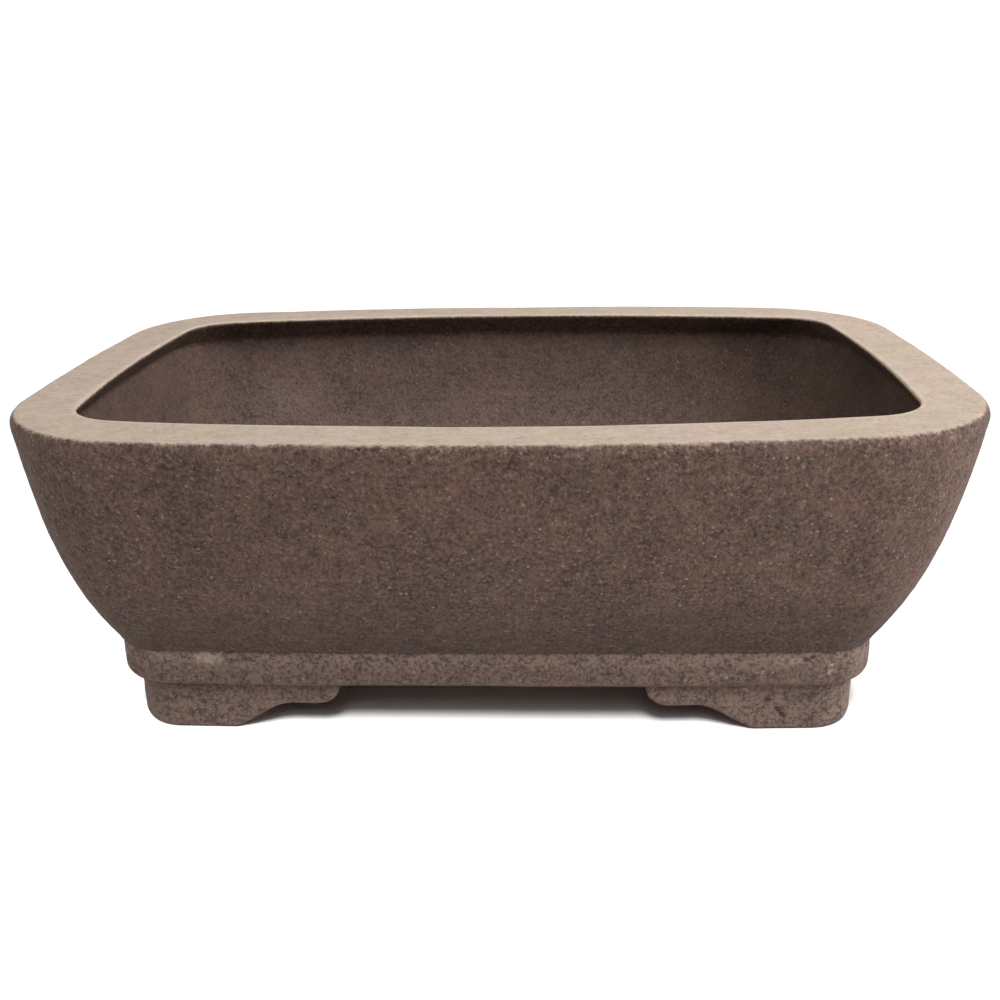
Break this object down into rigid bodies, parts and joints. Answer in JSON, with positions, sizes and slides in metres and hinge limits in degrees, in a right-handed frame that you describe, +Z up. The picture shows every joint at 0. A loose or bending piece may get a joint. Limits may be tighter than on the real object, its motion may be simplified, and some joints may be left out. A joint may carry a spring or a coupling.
{
  "type": "bonsai pot",
  "caption": "Rectangular unglazed bonsai pot with bowed sides, rounded corners, flat rim, base moulding and cloud feet, open at the top and drained through its floor.",
  "frame": {"origin": "on the ground, under the middle of the pot", "axes": "+X along the pot's length, +Y towards its back, +Z up through its mouth"},
  "size_m": [0.26, 0.182, 0.094],
  "materials": {
    "sandy_clay": "unglazed, sandy, matt, with pale and dark grains",
    "sponged_rim_clay": "unglazed, smoothed with a sponge, pale buff slip"
  },
  "bodies": {
    "root": {"floor_slab": "sandy_clay", "wall_front": "sandy_clay", "wall_right": "sandy_clay", "wall_back": "sandy_clay", "wall_left": "sandy_clay", "base_moulding_front": "sandy_clay", "base_moulding_right": "sandy_clay", "base_moulding_back": "sandy_clay", "base_moulding_left": "sandy_clay", "rim_front": "sponged_rim_clay", "rim_right": "sponged_rim_clay", "rim_back": "sponged_rim_clay", "rim_left": "sponged_rim_clay", "foot_front_left": "sandy_clay", "foot_front_right": "sandy_clay", "foot_back_left": "sandy_clay", "foot_back_right": "sandy_clay"}
  },
  "joints": []
}
